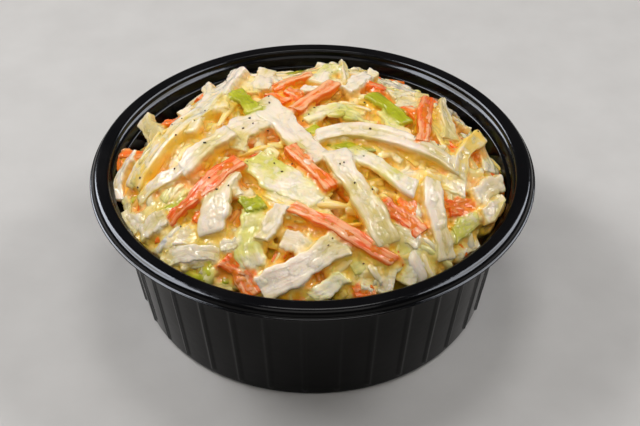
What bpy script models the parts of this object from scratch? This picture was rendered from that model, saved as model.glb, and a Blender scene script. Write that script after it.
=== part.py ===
"""Creamy coleslaw heaped in its round, ribbed, black takeaway cup.

Two pieces: the cup, a thin plastic wall turned about +Z, and the coleslaw, one solid that
fills the cup and rises above its rim. Metres, +Z up. The origin is the middle of the
cup's foot, on the surface that it stands on. -Y is the front.
"""

import math

import bmesh
import bpy
from mathutils import Matrix

# Cup: overall sizes
CUP_HEIGHT = 0.0404
LIP_RADIUS = 0.0600
BASE_RADIUS = 0.0486
WALL_DRAFT = math.radians(7.5)
SHEET = 0.0007

# Cup: rim, from the outer lip inwards
LIP_DEPTH = 0.0020
LIP_THICKNESS = 0.0005
SHOULDER_RADIUS = 0.0593
SHOULDER_BEND = 0.0015
MOUTH_RADIUS = 0.0547
MOUTH_BEND = 0.0009
RECESS_TAPER = 0.0005
RECESS_DEPTH = 0.0040
LEDGE_DROP = 0.0008

# Cup: foot
BASE_BEND = 0.0012
FOOT_INNER_RADIUS = 0.0435
FOOT_STEP = 0.0006
UNDERSIDE_RISE = 0.0009
FLOOR_BEND = 0.0014

# Cup: ribs up the outside of the wall
RIBS = 36
COLUMNS_PER_RIB = 3
RIB_HEIGHT = 0.0006
RIB_HALF_WIDTH = math.radians(1.2)
RIB_PHASE = math.radians(-2.5)
RIB_LOW = 0.0014
RIB_HIGH = 0.0345
RIB_END = 0.0012

# Coleslaw: overall sizes
GAP = 0.0003
HEAP_RISE = 0.0137
EDGE_DROP_FRONT = 0.0042
EDGE_DROP_BACK = 0.0142
BACK_POWER = 3
DOME_POWER = 4.5
HEAP_CELLS = 33

# Coleslaw: where the heap has slumped, as (x, y, depth, spread)
HOLLOWS = (
    (-0.037, 0.020, 0.0060, 0.008),
    (-0.047, 0.006, 0.0040, 0.006),
    (0.025, 0.026, 0.0035, 0.006),
    (-0.008, 0.031, 0.0050, 0.006),
    (0.045, 0.011, 0.0060, 0.007),
)

# Coleslaw: the shreds that lie on the dome
SHREDS = 30
SHRED_LENGTH = 0.0280
SHRED_WIDTH = 0.0080
SHRED_HEIGHT = 0.0042
SHRED_SPREAD = 0.0450
GOLDEN_ANGLE = math.pi * (3.0 - math.sqrt(5.0))
SHRED_TURN = math.radians(77.0)
EDGE_FADE = 0.0090

CUP_COLOUR = (0.011, 0.011, 0.012, 1.0)
SLAW_COLOUR = (0.76, 0.66, 0.43, 1.0)


def clear_objects():
    for old in list(bpy.data.objects):
        bpy.data.objects.remove(old, do_unlink=True)


def make_material(name, colour, roughness):
    material = bpy.data.materials.new(name)
    material.use_nodes = True
    shader = material.node_tree.nodes["Principled BSDF"]
    shader.inputs["Base Color"].default_value = colour
    shader.inputs["Roughness"].default_value = roughness
    shader.inputs["Metallic"].default_value = 0.0
    material.diffuse_color = colour
    return material


def add_object(name, bm, material, sharp_angle):
    """Turns a finished bmesh into a smooth-shaded object with one material."""
    mesh = bpy.data.meshes.new(name)
    bm.to_mesh(mesh)
    bm.free()
    mesh.materials.append(material)
    mesh.shade_smooth()
    mesh.set_sharp_from_angle(angle=sharp_angle)
    made = bpy.data.objects.new(name, mesh)
    bpy.context.scene.collection.objects.link(made)
    return made


def arc(centre, radius, start, end, steps):
    """Points of a circular bend in the (radius, height) plane, from start to end in degrees."""
    points = []
    for step in range(steps + 1):
        angle = math.radians(start + (end - start) * step / steps)
        points.append((centre[0] + radius * math.cos(angle), centre[1] + radius * math.sin(angle)))
    return points


def turn(profile, columns):
    """Spins an open (radius, height) outline, which starts and ends on the axis, into a solid."""
    bm = bmesh.new()
    verts = [bm.verts.new((radius, 0.0, height)) for radius, height in profile]
    edges = [bm.edges.new(pair) for pair in zip(verts, verts[1:])]
    bmesh.ops.spin(
        bm, geom=verts + edges, cent=(0.0, 0.0, 0.0), axis=(0.0, 0.0, 1.0),
        angle=2.0 * math.pi, steps=columns, use_merge=True)
    bmesh.ops.remove_doubles(bm, verts=bm.verts, dist=1e-6)
    bmesh.ops.recalc_face_normals(bm, faces=bm.faces)
    return bm


def outer_wall(height):
    """Radius of the wall's outside, between the ribs."""
    return BASE_RADIUS + height * math.tan(WALL_DRAFT)


def inner_wall(height):
    return outer_wall(height) - SHEET / math.cos(WALL_DRAFT)


def floor_height():
    return UNDERSIDE_RISE + SHEET


def foot_outline():
    """Underside, standing ring and the bend up into the wall."""
    draft = math.degrees(WALL_DRAFT)
    bend_centre = (outer_wall(BASE_BEND) - BASE_BEND / math.cos(WALL_DRAFT), BASE_BEND)
    points = [(0.0, UNDERSIDE_RISE), (FOOT_INNER_RADIUS - FOOT_STEP, UNDERSIDE_RISE)]
    points.append((FOOT_INNER_RADIUS, 0.0))
    points += arc(bend_centre, BASE_BEND, -90.0, -draft, 3)
    return points


def rib_heights():
    """Where a rib starts, is full, is full still, and ends."""
    return (RIB_LOW, RIB_LOW + RIB_END, RIB_HIGH - RIB_END, RIB_HIGH)


def rim_underside_outline():
    """From the wall's top, under the ledge, recess and rim, to the underside of the lip."""
    recess_foot = CUP_HEIGHT - RECESS_DEPTH
    ledge = recess_foot - LEDGE_DROP
    under_top = CUP_HEIGHT - SHEET
    recess_back = MOUTH_RADIUS + SHEET
    skirt_back = SHOULDER_RADIUS - SHEET
    under_lip = CUP_HEIGHT - LIP_DEPTH - LIP_THICKNESS
    return [
        (outer_wall(ledge - SHEET), ledge - SHEET),
        (recess_back - RECESS_TAPER, recess_foot - SHEET),
        (recess_back, under_top - SHEET),
        (recess_back + MOUTH_BEND / 2.0, under_top),
        (skirt_back - SHEET, under_top),
        (skirt_back, under_lip),
    ]


def lip_and_shoulder_outline():
    lip_top = CUP_HEIGHT - LIP_DEPTH
    half_lip = LIP_THICKNESS / 2.0
    bend_centre = (SHOULDER_RADIUS - SHOULDER_BEND, CUP_HEIGHT - SHOULDER_BEND)
    points = arc((LIP_RADIUS - half_lip, lip_top - half_lip), half_lip, -90.0, 90.0, 2)
    points.append((SHOULDER_RADIUS + SHEET / 4.0, lip_top + SHEET / 4.0))
    points += arc(bend_centre, SHOULDER_BEND, 0.0, 90.0, 3)
    return points


def inside_outline():
    """Mouth bend, lid recess, ledge, inner wall and floor."""
    draft = math.degrees(WALL_DRAFT)
    recess_foot = CUP_HEIGHT - RECESS_DEPTH
    ledge = recess_foot - LEDGE_DROP
    floor = floor_height()
    bend_height = floor + FLOOR_BEND
    bend_centre = (inner_wall(bend_height) - FLOOR_BEND / math.cos(WALL_DRAFT), bend_height)
    points = arc((MOUTH_RADIUS + MOUTH_BEND, CUP_HEIGHT - MOUTH_BEND), MOUTH_BEND, 90.0, 180.0, 3)
    points.append((MOUTH_RADIUS - RECESS_TAPER, recess_foot))
    points.append((inner_wall(ledge), ledge))
    points += arc(bend_centre, FLOOR_BEND, -draft, -90.0, 3)
    points.append((0.0, floor))
    return points


def cup_outline():
    points = foot_outline()
    points += [(outer_wall(height), height) for height in rib_heights()]
    points += rim_underside_outline()
    points += lip_and_shoulder_outline()
    points += inside_outline()
    return points


def raise_ribs(bm):
    """Pushes every third column of the outer wall out, and pinches its neighbours to it."""
    low, full_low, full_high, high = rib_heights()
    columns = RIBS * COLUMNS_PER_RIB
    tiny = SHEET / 10.0
    for vert in bm.verts:
        x, y, z = vert.co
        radius = math.hypot(x, y)
        on_wall = abs(radius - outer_wall(z)) < tiny and low - tiny < z < high + tiny
        if not on_wall:
            continue
        column = round(math.atan2(y, x) / (2.0 * math.pi) * columns)
        rib = round(column / COLUMNS_PER_RIB)
        side = column - rib * COLUMNS_PER_RIB
        angle = rib * 2.0 * math.pi / RIBS + side * RIB_HALF_WIDTH
        if side == 0 and full_low - tiny < z < full_high + tiny:
            radius += RIB_HEIGHT
        vert.co.x = radius * math.cos(angle)
        vert.co.y = radius * math.sin(angle)


def make_cup():
    bm = turn(cup_outline(), RIBS * COLUMNS_PER_RIB)
    raise_ribs(bm)
    front = Matrix.Rotation(RIB_PHASE - math.pi / 2.0, 3, "Z")
    bmesh.ops.rotate(bm, verts=bm.verts, cent=(0.0, 0.0, 0.0), matrix=front)
    material = make_material("black_plastic", CUP_COLOUR, 0.22)
    return add_object("cup", bm, material, math.radians(50.0))


def edge_height(angle):
    """Height of the line where the heap meets the wall: high at the front, low at the back."""
    backness = ((1.0 + math.sin(angle)) / 2.0) ** BACK_POWER
    drop = EDGE_DROP_FRONT + (EDGE_DROP_BACK - EDGE_DROP_FRONT) * backness
    return CUP_HEIGHT - drop


def shred_relief(x, y):
    """Height that the shreds lying on the heap add at a place: the tallest of them counts."""
    tallest = 0.0
    for index in range(SHREDS):
        reach = SHRED_SPREAD * math.sqrt((index + 0.5) / SHREDS)
        place = index * GOLDEN_ANGLE
        heading = index * SHRED_TURN
        dx = x - reach * math.cos(place)
        dy = y - reach * math.sin(place)
        along = (dx * math.cos(heading) + dy * math.sin(heading)) / (SHRED_LENGTH / 2.0)
        across = (dy * math.cos(heading) - dx * math.sin(heading)) / (SHRED_WIDTH / 2.0)
        if abs(along) >= 1.0 or abs(across) >= 1.0:
            continue
        tilt = 0.65 + 0.35 * along * math.cos(index * 1.7)
        tallest = max(tallest, SHRED_HEIGHT * tilt * (1.0 - along ** 6) * (1.0 - across ** 4))
    return tallest


def hollow_depth(x, y):
    """How far the heap has slumped at a place."""
    depth = 0.0
    for middle_x, middle_y, deepest, spread in HOLLOWS:
        away = ((x - middle_x) ** 2 + (y - middle_y) ** 2) / (2.0 * spread ** 2)
        depth += deepest * math.exp(-away)
    return depth


def heap_height(x, y):
    """Top of the heap: a dome between the edge line and the crown, with the shreds on it."""
    angle = math.atan2(y, x)
    radius = math.hypot(x, y)
    edge = edge_height(angle)
    edge_radius = inner_wall(edge) - GAP
    share = min(radius / edge_radius, 1.0)
    crown = CUP_HEIGHT + HEAP_RISE - SHRED_HEIGHT / 2.0
    dome = edge + (crown - edge) * (1.0 - share ** DOME_POWER)
    fade = max(min((edge_radius - radius) / EDGE_FADE, 1.0), 0.0)
    return dome + fade * (shred_relief(x, y) - hollow_depth(x, y))


def lay_top(bm):
    """Bends a square net of cells into the round top of the heap and lifts it to its height."""
    bmesh.ops.create_grid(bm, x_segments=HEAP_CELLS, y_segments=HEAP_CELLS, size=1.0)
    for vert in bm.verts:
        u, v, _ = vert.co
        x = u * math.sqrt(1.0 - v * v / 2.0)
        y = v * math.sqrt(1.0 - u * u / 2.0)
        edge_radius = inner_wall(edge_height(math.atan2(y, x))) - GAP
        vert.co.x = x * edge_radius
        vert.co.y = y * edge_radius
        vert.co.z = heap_height(vert.co.x, vert.co.y)


def drop_skirt(bm, radius, height):
    """Extrudes the open edge down to a level ring of the given radius and height."""
    rim = [edge for edge in bm.edges if edge.is_boundary]
    made = bmesh.ops.extrude_edge_only(bm, edges=rim)
    for vert in made["geom"]:
        if not isinstance(vert, bmesh.types.BMVert):
            continue
        angle = math.atan2(vert.co.y, vert.co.x)
        vert.co = (radius * math.cos(angle), radius * math.sin(angle), height)


def close_floor(bm):
    rim = [edge for edge in bm.edges if edge.is_boundary]
    made = bmesh.ops.contextual_create(bm, geom=rim)
    bmesh.ops.poke(bm, faces=made["faces"])


def make_coleslaw():
    floor = floor_height() + GAP
    low = floor + FLOOR_BEND
    bm = bmesh.new()
    lay_top(bm)
    drop_skirt(bm, inner_wall(low) - GAP, low)
    drop_skirt(bm, inner_wall(low) - GAP - FLOOR_BEND, floor)
    close_floor(bm)
    bmesh.ops.recalc_face_normals(bm, faces=bm.faces)
    material = make_material("dressed_slaw", SLAW_COLOUR, 0.35)
    return add_object("coleslaw", bm, material, math.radians(70.0))


clear_objects()
make_cup()
make_coleslaw()
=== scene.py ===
# %% [markdown]
# # Creamy coleslaw in a black takeaway cup
#
# This lesson dresses a measured model. The model already says where the cup and the heap of
# coleslaw are and how big they are. Here we make what the eye sees: a thin glossy cup with
# ribs, and strips of cabbage and carrot that lie in a creamy dressing.

# %% Load the measured model
import math
import random

import bmesh
import bpy
import numpy as np
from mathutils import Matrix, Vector
from mathutils.kdtree import KDTree


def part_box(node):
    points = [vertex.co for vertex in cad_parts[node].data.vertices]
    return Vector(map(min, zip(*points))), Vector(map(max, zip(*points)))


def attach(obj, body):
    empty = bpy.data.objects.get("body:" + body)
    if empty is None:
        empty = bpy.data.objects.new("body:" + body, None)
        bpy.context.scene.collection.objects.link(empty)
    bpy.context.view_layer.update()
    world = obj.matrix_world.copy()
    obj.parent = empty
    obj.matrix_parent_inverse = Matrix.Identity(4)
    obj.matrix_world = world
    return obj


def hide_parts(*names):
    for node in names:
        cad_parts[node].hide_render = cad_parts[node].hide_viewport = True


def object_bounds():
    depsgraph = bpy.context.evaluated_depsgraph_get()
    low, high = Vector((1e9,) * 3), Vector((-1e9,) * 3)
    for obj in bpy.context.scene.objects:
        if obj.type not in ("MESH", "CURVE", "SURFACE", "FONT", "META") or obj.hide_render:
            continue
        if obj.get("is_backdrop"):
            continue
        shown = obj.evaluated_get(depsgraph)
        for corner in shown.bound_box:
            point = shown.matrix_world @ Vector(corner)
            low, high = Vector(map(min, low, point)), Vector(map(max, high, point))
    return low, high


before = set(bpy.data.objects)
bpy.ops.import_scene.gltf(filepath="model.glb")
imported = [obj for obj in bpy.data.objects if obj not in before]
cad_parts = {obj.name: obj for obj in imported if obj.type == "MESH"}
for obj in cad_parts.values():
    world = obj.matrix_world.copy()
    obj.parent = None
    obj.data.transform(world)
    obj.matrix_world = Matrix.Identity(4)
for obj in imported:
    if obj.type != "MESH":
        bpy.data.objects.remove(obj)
cad_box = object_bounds()
cup_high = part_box("cup")[1]
heap_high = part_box("coleslaw")[1]
MM = 0.001
RIM_HEIGHT = cup_high.z
LIP_RADIUS = cup_high.x
HEAP_TOP = heap_high.z
print("rim height", round(RIM_HEIGHT / MM, 1), "lip radius", round(LIP_RADIUS / MM, 1))
print("heap top", round(HEAP_TOP / MM, 1))

# %% [markdown]
# ## Table, camera and light
#
# A studio floor is one large sheet, seen from above, so its edge never shows. Black plastic
# has hardly any colour of its own: it shows what it mirrors. Two soft lamps stand high behind
# the cup, one on each side. They draw the bright arcs on the rim and the glints on the wet
# salad, and a dim sky keeps the flat parts black. The left lamp is the stronger one. Two wide
# panels in the same places light the cup alone, so that the arcs get their soft edges. A small
# bright spark lamp lights the salad alone, and gives the wet tops their sharp glints.

# %% Small helpers for edit mode
def deselect_everything():
    if bpy.context.object and bpy.context.object.mode != "OBJECT":
        bpy.ops.object.mode_set(mode="OBJECT")
    for thing in list(bpy.context.selected_objects):
        thing.select_set(False)


def make_active(piece):
    deselect_everything()
    bpy.context.view_layer.objects.active = piece
    piece.select_set(True)


def select_where(piece, kind, rule):
    """In edit mode, selects just the verts, edges or faces for which rule(element) is true."""
    mesh = bmesh.from_edit_mesh(piece.data)
    bpy.ops.mesh.select_mode(type=kind)
    bpy.ops.mesh.select_all(action="DESELECT")
    parts = {"VERT": mesh.verts, "EDGE": mesh.edges, "FACE": mesh.faces}[kind]
    for part in parts:
        if rule(part):
            part.select_set(True)
    mesh.select_flush_mode()
    bmesh.update_edit_mesh(piece.data)


def read_points(mesh):
    points = np.empty(len(mesh.vertices) * 3)
    mesh.vertices.foreach_get("co", points)
    return points.reshape(-1, 3)


def write_points(mesh, points):
    mesh.vertices.foreach_set("co", np.ascontiguousarray(points, float).ravel())
    mesh.update()


def finish_modifier(piece, kind, name, **settings):
    """Adds a modifier, sets it and applies it."""
    make_active(piece)
    modifier = piece.modifiers.new(name, kind)
    for key, value in settings.items():
        setattr(modifier, key, value)
    bpy.ops.object.modifier_apply(modifier=modifier.name)


# %% Small helpers for materials
def new_material(name):
    material = bpy.data.materials.new(name)
    material.use_nodes = True
    return material, material.node_tree, material.node_tree.nodes["Principled BSDF"]


def fill_sockets(tree, node, values):
    """Links each named input to a socket, or sets it to a plain value."""
    for name, value in values.items():
        if isinstance(value, bpy.types.NodeSocket):
            tree.links.new(value, node.inputs[name])
        else:
            node.inputs[name].default_value = value


def add_node(tree, kind, inputs=None, **settings):
    """A node with its settings, and its sockets either set to a value or linked."""
    node = tree.nodes.new(kind)
    for key, value in settings.items():
        setattr(node, key, value)
    fill_sockets(tree, node, inputs or {})
    return node


def add_ramp(tree, factor, stops):
    """A colour ramp; stops are (place, colour) pairs, and a bare number is a grey."""
    node = add_node(tree, "ShaderNodeValToRGB", {"Fac": factor})
    ramp = node.color_ramp
    for number, (place, colour) in enumerate(stops):
        element = ramp.elements[number] if number < 2 else ramp.elements.new(place)
        element.position = place
        if isinstance(colour, (int, float)):
            colour = (colour, colour, colour)
        element.color = (*colour, 1.0)
    return node.outputs["Color"]


def add_noise(tree, vector, scale, detail=2.0, roughness=0.5):
    inputs = {"Vector": vector, "Scale": scale, "Detail": detail, "Roughness": roughness}
    return add_node(tree, "ShaderNodeTexNoise", inputs).outputs["Fac"]


def add_mix(tree, factor, first, second, blend="MIX"):
    """Mixes two colours; 0, 6 and 7 are the mix node's own numbers for these inputs."""
    return add_node(tree, "ShaderNodeMix", {0: factor, 6: first, 7: second},
                    data_type="RGBA", blend_type=blend).outputs[2]


def add_bump(tree, height, strength, distance):
    inputs = {"Height": height, "Strength": strength, "Distance": distance}
    return add_node(tree, "ShaderNodeBump", inputs).outputs["Normal"]


def object_place(tree):
    return add_node(tree, "ShaderNodeTexCoord").outputs["Object"]


# %% Lay the floor
FLOOR_SIZE = 4.0
deselect_everything()
bpy.ops.mesh.primitive_plane_add(size=FLOOR_SIZE, location=(0.0, 0.0, -0.0002))
floor = bpy.context.object
floor.name = "floor"
bpy.ops.object.transform_apply(location=True, rotation=True, scale=True)

material, tree, shader = new_material("pale_floor")
grain = add_noise(tree, object_place(tree), 60.0, detail=4.0)
shade = add_ramp(tree, grain, ((0.3, (0.55, 0.54, 0.53)), (0.7, (0.59, 0.58, 0.57))))
fill_sockets(tree, shader, {"Base Color": shade, "Roughness": 0.75})
floor.data.materials.append(material)
floor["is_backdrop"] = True

# %% Place the camera
CAMERA_PLACE = (0.0020, -0.2674, 0.2433)
CAMERA_TILT = math.radians(50.32)
camera_data = bpy.data.cameras.new("camera")
camera_data.lens = 69.68
camera_data.sensor_width = 36.0
camera_data.clip_start = 0.01
camera = bpy.data.objects.new("camera", camera_data)
camera.location = CAMERA_PLACE
camera.rotation_euler = (CAMERA_TILT, 0.0, 0.0)
bpy.context.scene.collection.objects.link(camera)
bpy.context.scene.camera = camera

# %% Hang the lamps
def add_lamp(name, place, aim, width, height, power, colour):
    data = bpy.data.lights.new(name, "AREA")
    data.shape = "RECTANGLE"
    data.size = width
    data.size_y = height
    data.energy = power
    data.color = colour
    lamp = bpy.data.objects.new(name, data)
    lamp.location = place
    lamp.rotation_euler = (Vector(aim) - Vector(place)).to_track_quat("-Z", "Y").to_euler()
    bpy.context.scene.collection.objects.link(lamp)
    return lamp


HEAP_MIDDLE = (0.0, 0.0, 0.04)
DAYLIGHT = (1.0, 0.99, 0.98)
COOL_LIGHT = (0.86, 0.90, 1.0)
WARM_LIGHT = (1.0, 0.97, 0.93)
LEFT_PLACE = (-0.52, 0.16, 0.58)
RIGHT_PLACE = (0.52, 0.16, 0.58)
add_lamp("left_lamp", LEFT_PLACE, HEAP_MIDDLE, 0.32, 0.24, 3.3, DAYLIGHT)
add_lamp("right_lamp", RIGHT_PLACE, HEAP_MIDDLE, 0.28, 0.20, 1.9, DAYLIGHT)
add_lamp("top_lamp", (0.03, 0.20, 0.84), HEAP_MIDDLE, 0.26, 0.26, 1.5, DAYLIGHT)
add_lamp("fill_lamp", (0.0, -0.60, 0.80), HEAP_MIDDLE, 0.80, 0.50, 2.3, WARM_LIGHT)
spark_lamp = add_lamp("spark_lamp", (-0.14, -0.34, 0.84), HEAP_MIDDLE, 0.06, 0.06, 0.7, DAYLIGHT)
cup_panels = [
    add_lamp("left_panel", LEFT_PLACE, HEAP_MIDDLE, 0.95, 0.50, 42.0, COOL_LIGHT),
    add_lamp("right_panel", RIGHT_PLACE, HEAP_MIDDLE, 0.85, 0.45, 22.0, COOL_LIGHT),
]
world = bpy.data.worlds.new("studio")
world.use_nodes = True
world.node_tree.nodes["Background"].inputs["Color"].default_value = (1.0, 0.98, 0.96, 1.0)
world.node_tree.nodes["Background"].inputs["Strength"].default_value = 0.10
bpy.context.scene.world = world
bpy.context.scene.view_settings.view_transform = "Standard"

# %% [markdown]
# ## The cup
#
# The real cup is one sheet of black plastic, drawn into a mould. It could be spun from a
# drawn profile, or built ring by ring. We build it ring by ring: start with the disc under
# the cup, then extrude its edge again and again, and scale each new ring to the next radius.
# That way every bend of the rim can be given as a short arc, and the loop closes on the
# inside in the middle of the floor.

# %% Cup sizes
COLUMNS = 480
SHEET = 0.7 * MM
DRAFT = math.radians(7.5)
BASE_RADIUS = 48.6 * MM
BASE_BEND = 1.2 * MM
FOOT_RADIUS = 43.5 * MM
UNDERSIDE_RISE = 0.9 * MM
SHOULDER_RADIUS = LIP_RADIUS - 0.7 * MM
SHOULDER_BEND = 1.5 * MM
LIP_DEPTH = 1.1 * MM
LIP_THICKNESS = 0.5 * MM
MOUTH_RADIUS = LIP_RADIUS - 5.3 * MM
MOUTH_BEND = 0.9 * MM
RECESS_DEPTH = 4.0 * MM
RECESS_TAPER = 0.5 * MM
LEDGE_DROP = 0.8 * MM
FLOOR_BEND = 1.4 * MM
WALL_RINGS = (1.6, 2.2, 2.8, 12.0, 23.0, 33.0, 34.0, 34.8)


def outer_wall(height):
    return BASE_RADIUS + height * math.tan(DRAFT)


def inner_wall(height):
    return outer_wall(height) - SHEET / math.cos(DRAFT)


def arc(centre_radius, centre_height, radius, start, end, steps):
    """Points of a bend in the (radius, height) plane; start and end are in degrees."""
    points = []
    for step in range(steps + 1):
        angle = math.radians(start + (end - start) * step / steps)
        points.append((centre_radius + radius * math.cos(angle),
                       centre_height + radius * math.sin(angle)))
    return points


# %% The cup's outline, from the middle of its underside round to the middle of its floor
draft = math.degrees(DRAFT)
top = RIM_HEIGHT
hollow_top = top - SHEET
lip_low = top - LIP_DEPTH - 1.4 * MM
wall_top = hollow_top - 1.2 * MM
floor_height = UNDERSIDE_RISE + SHEET
ledge_height = top - RECESS_DEPTH
shoulder = SHOULDER_RADIUS - SHOULDER_BEND
recess_foot = MOUTH_RADIUS - RECESS_TAPER
ledge_low = ledge_height - LEDGE_DROP
ledge_radius = inner_wall(ledge_low)
floor_bend = floor_height + FLOOR_BEND
cup_outline = [
    (FOOT_RADIUS - 2.0 * MM, UNDERSIDE_RISE),
    (FOOT_RADIUS - 0.6 * MM, UNDERSIDE_RISE),
    (FOOT_RADIUS, 0.0),
    (FOOT_RADIUS + 0.4 * MM, 0.0),
    *arc(outer_wall(BASE_BEND) - BASE_BEND / math.cos(DRAFT), BASE_BEND, BASE_BEND, -90.0, -draft, 5),
    *[(outer_wall(height * MM), height * MM) for height in WALL_RINGS],
    (outer_wall(wall_top - 0.5 * MM), wall_top - 0.5 * MM),
    (outer_wall(wall_top) + 0.1 * MM, wall_top),
    (MOUTH_RADIUS + 0.9 * MM, hollow_top),
    *arc(shoulder, top - SHOULDER_BEND, SHOULDER_BEND - SHEET, 90.0, 0.0, 4),
    (SHOULDER_RADIUS - 0.5 * MM, lip_low),
    (LIP_RADIUS - 0.3 * MM, lip_low),
    *arc(LIP_RADIUS - 0.25 * MM, lip_low + 0.27 * MM, 0.25 * MM, -80.0, 80.0, 6),
    (SHOULDER_RADIUS + 0.35 * MM, lip_low + LIP_THICKNESS),
    (SHOULDER_RADIUS + 0.05 * MM, lip_low + LIP_THICKNESS + 0.3 * MM),
    *arc(shoulder, top - SHOULDER_BEND, SHOULDER_BEND, 0.0, 90.0, 8),
    (shoulder - 0.2 * MM, top),
    (MOUTH_RADIUS + MOUTH_BEND + 0.2 * MM, top),
    *arc(MOUTH_RADIUS + MOUTH_BEND, top - MOUTH_BEND, MOUTH_BEND, 90.0, 180.0, 7),
    (MOUTH_RADIUS - 0.05 * MM, top - MOUTH_BEND - 0.3 * MM),
    (recess_foot + 0.05 * MM, ledge_height + 0.5 * MM),
    *arc(recess_foot - 0.3 * MM, ledge_height + 0.3 * MM, 0.3 * MM, 0.0, -70.0, 4),
    *arc(ledge_radius + 0.4 * MM, ledge_low - 0.1 * MM, 0.4 * MM, 80.0, 180.0, 6),
    (inner_wall(ledge_low - 1.0 * MM), ledge_low - 1.0 * MM),
    (inner_wall(20.0 * MM), 20.0 * MM),
    (inner_wall(floor_bend + FLOOR_BEND), floor_bend + FLOOR_BEND),
    *arc(inner_wall(floor_bend) - FLOOR_BEND, floor_bend, FLOOR_BEND, -draft, -90.0, 5),
    (20.0 * MM, floor_height),
]
print("rings in the cup's outline:", len(cup_outline))

# %% Extrude the rings one after another
def build_rings(name, columns, outline):
    """A closed round form, left in edit mode; outline holds (radius, height) pairs."""
    deselect_everything()
    bpy.ops.mesh.primitive_circle_add(
        vertices=columns, radius=outline[0][0], fill_type="TRIFAN",
        location=(0.0, 0.0, outline[0][1]))
    form = bpy.context.object
    form.name = name
    bpy.ops.object.transform_apply(location=True, rotation=True, scale=True)
    bpy.ops.object.mode_set(mode="EDIT")
    select_where(form, "EDGE", lambda edge: edge.is_boundary)
    for (radius, height), (next_radius, next_height) in zip(outline, outline[1:]):
        bpy.ops.mesh.extrude_edges_move(
            TRANSFORM_OT_translate={"value": (0.0, 0.0, next_height - height)})
        share = next_radius / radius
        bpy.ops.transform.resize(value=(share, share, 1.0))
    bpy.ops.mesh.extrude_edges_move()
    bpy.ops.mesh.merge(type="CENTER")
    bpy.ops.mesh.select_all(action="SELECT")
    bpy.ops.mesh.normals_make_consistent(inside=False)
    return form


cup_shell = build_rings("cup_shell", COLUMNS, cup_outline)

# %% [markdown]
# The wall carries narrow upright ribs. Each is a soft ridge, a little lower than the sheet
# is thick. The column of the wall that lies under a rib is picked by its angle, and
# shrink/fatten pushes it straight out.

# %% Raise the ribs
RIBS = 36
RIB_HEIGHT = 0.5 * MM
RIB_SHIFT = -2.5
RIB_LOW = 2.0 * MM
RIB_HIGH = 34.5 * MM
COLUMN_ANGLE = 360.0 / COLUMNS


def columns_from_rib(vert):
    """How many columns a vert is away from the middle of the nearest rib."""
    angle = math.degrees(math.atan2(vert.co.y, vert.co.x)) + 90.0 - RIB_SHIFT
    pitch = 360.0 / RIBS
    return round(abs((angle + pitch / 2.0) % pitch - pitch / 2.0) / COLUMN_ANGLE)


def on_outer_wall(vert):
    if not RIB_LOW < vert.co.z < RIB_HIGH:
        return False
    return vert.co.xy.length > outer_wall(vert.co.z) - 0.2 * MM


select_where(cup_shell, "VERT", lambda vert: on_outer_wall(vert) and columns_from_rib(vert) == 0)
bpy.ops.transform.shrink_fatten(value=RIB_HEIGHT)
bpy.ops.object.mode_set(mode="OBJECT")
bpy.ops.object.shade_smooth()
print("cup faces:", len(cup_shell.data.polygons))

# %% [markdown]
# Black plastic is a very dark colour with an even, glossy skin. The mould leaves a faint
# ripple in it, and fingers leave it a little duller in places. Both are noise: one drives a
# small bump, the other the roughness.

# %% Black plastic
material, tree, shader = new_material("black_plastic")
place = object_place(tree)
smudge = add_noise(tree, place, 55.0, detail=3.0)
ripple = add_noise(tree, place, 260.0, detail=2.0)
tone = add_ramp(tree, smudge, ((0.3, (0.0003, 0.0003, 0.0004)), (0.7, (0.0007, 0.0006, 0.0006))))
gloss = add_ramp(tree, smudge, ((0.3, 0.10), (0.7, 0.16)))
fill_sockets(tree, shader, {
    "Base Color": tone, "Roughness": gloss, "Normal": add_bump(tree, ripple, 0.25, 0.0002),
    "IOR": 1.46, "Specular IOR Level": 0.17})
cup_shell.data.materials.append(material)
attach(cup_shell, "root")
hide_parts("cup")

# %% Let the two panels light the cup alone
def light_alone(lamps, lit, name):
    """Makes the lamps light nothing but the lit pieces."""
    group = bpy.data.collections.new(name)
    for piece in lit:
        group.objects.link(piece)
    for lamp in lamps:
        lamp.light_linking.receiver_collection = group


light_alone(cup_panels, [cup_shell], "lit_by_panels")

# %% [markdown]
# ## The heap's form
#
# Before any strip is laid, the lesson needs to know how high the heap stands at each place.
# A real heap is pressed flat against the wall and domes up in the middle. It is high at the
# front, where it was pushed with the spoon, and slumps at the back. One formula gives the
# height; the strips, the creamy body and the loose bits all ask it.

# %% Height of the heap
EDGE_DROP_FRONT = 4.2 * MM
EDGE_DROP_BACK = 14.2 * MM
DOME_POWER = 4.5
BACK_POWER = 3
CROWN = HEAP_TOP - 3.9 * MM
WALL_GAP = 0.4 * MM
# (x, y, depth, spread) in millimetres: places where the heap has slumped
HOLLOWS = ((-37, 20, 6.0, 8), (-47, 6, 4.0, 6), (25, 26, 3.5, 6), (-8, 31, 5.0, 6), (45, 11, 6.0, 7))


def edge_height(angle):
    backness = ((1.0 + np.sin(angle)) / 2.0) ** BACK_POWER
    return RIM_HEIGHT - EDGE_DROP_FRONT - (EDGE_DROP_BACK - EDGE_DROP_FRONT) * backness


def heap_height(x, y):
    edge = edge_height(np.arctan2(y, x))
    share = np.clip(np.hypot(x, y) / (inner_wall(edge) - WALL_GAP), 0.0, 1.0)
    height = edge + (CROWN - edge) * (1.0 - share ** DOME_POWER)
    for middle_x, middle_y, depth, spread in HOLLOWS:
        away = ((x / MM - middle_x) ** 2 + (y / MM - middle_y) ** 2) / (2.0 * spread ** 2)
        height = height - depth * MM * np.exp(-away)
    return height


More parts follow.
